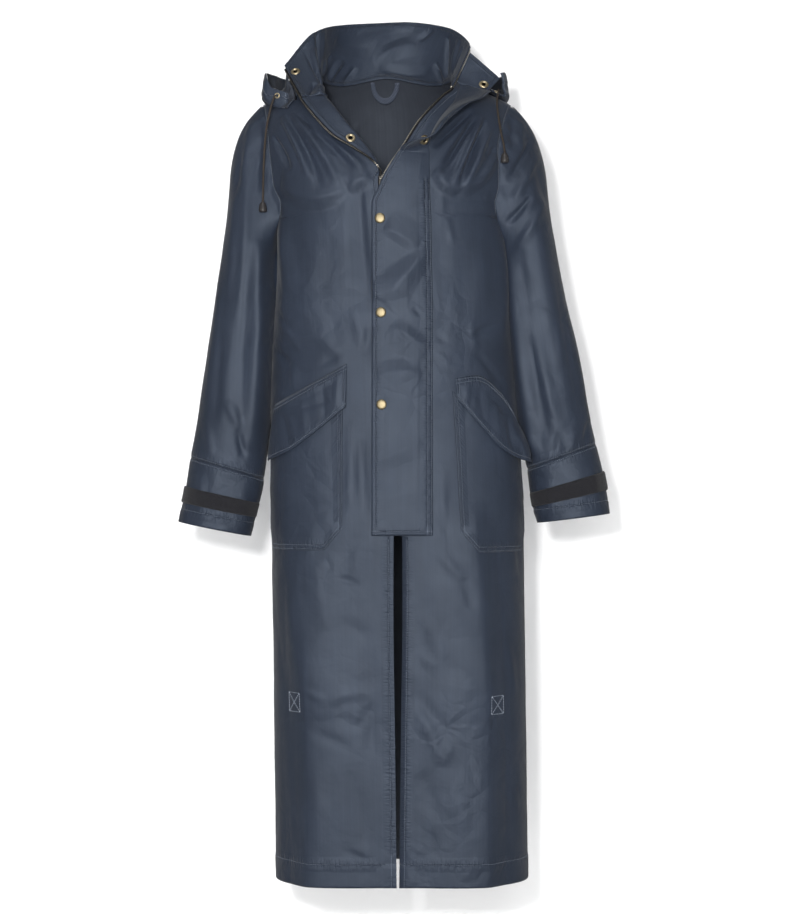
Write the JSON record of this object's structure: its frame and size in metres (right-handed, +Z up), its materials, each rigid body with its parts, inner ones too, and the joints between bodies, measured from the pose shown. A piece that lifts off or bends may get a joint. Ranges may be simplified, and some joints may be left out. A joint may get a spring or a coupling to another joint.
{
  "type": "hooded raincoat",
  "caption": "Long hooded raincoat in its worn, hollow form: turned-out lapel and storm flap, stand collar, folded hood, patch pockets, cuff straps, press studs and a front slit.",
  "frame": {"origin": "middle of the neck opening at the height of the nape seam, where the wearer carries the coat", "axes": "+X to the viewer's right, +Y to the back, the front faces -Y, +Z up along the coat's length"},
  "size_m": [0.642, 0.3559, 1.2918],
  "materials": {
    "navy_nylon": "tight woven nylon with a soft sheen",
    "black_hook_and_loop": "matt loop pile",
    "dark_zip_tape": "matt woven tape",
    "satin_brass": "satin",
    "dark_cord": "matt braid",
    "dark_plastic": "satin",
    "dark_metal": "dark plated"
  },
  "bodies": {
    "root": {"back": "navy_nylon", "collar": "navy_nylon", "cuff_left": "navy_nylon", "cuff_right": "navy_nylon", "drawcord_left": "dark_cord", "drawcord_right": "dark_cord", "eyelet_left": "satin_brass", "eyelet_right": "satin_brass", "front_left": "navy_nylon", "front_right": "navy_nylon", "hanger_loop": "dark_zip_tape", "hood": "navy_nylon", "pocket_flap_left": "navy_nylon", "pocket_flap_right": "navy_nylon", "pocket_left": "navy_nylon", "pocket_right": "navy_nylon", "sleeve_left": "navy_nylon", "sleeve_right": "navy_nylon", "snap_cap_1": "satin_brass", "snap_cap_2": "satin_brass", "snap_cap_3": "satin_brass", "snap_cap_4": "satin_brass", "snap_cap_5": "satin_brass", "snap_ring_1": "satin_brass", "snap_ring_2": "satin_brass", "snap_ring_3": "satin_brass", "snap_ring_4": "satin_brass", "storm_flap": "navy_nylon", "strap_left": "black_hook_and_loop", "strap_right": "black_hook_and_loop", "toggle_left": "dark_plastic", "toggle_right": "dark_plastic", "zip_left": "dark_zip_tape", "zip_right": "dark_zip_tape", "zip_slider": "dark_metal"}
  },
  "joints": []
}
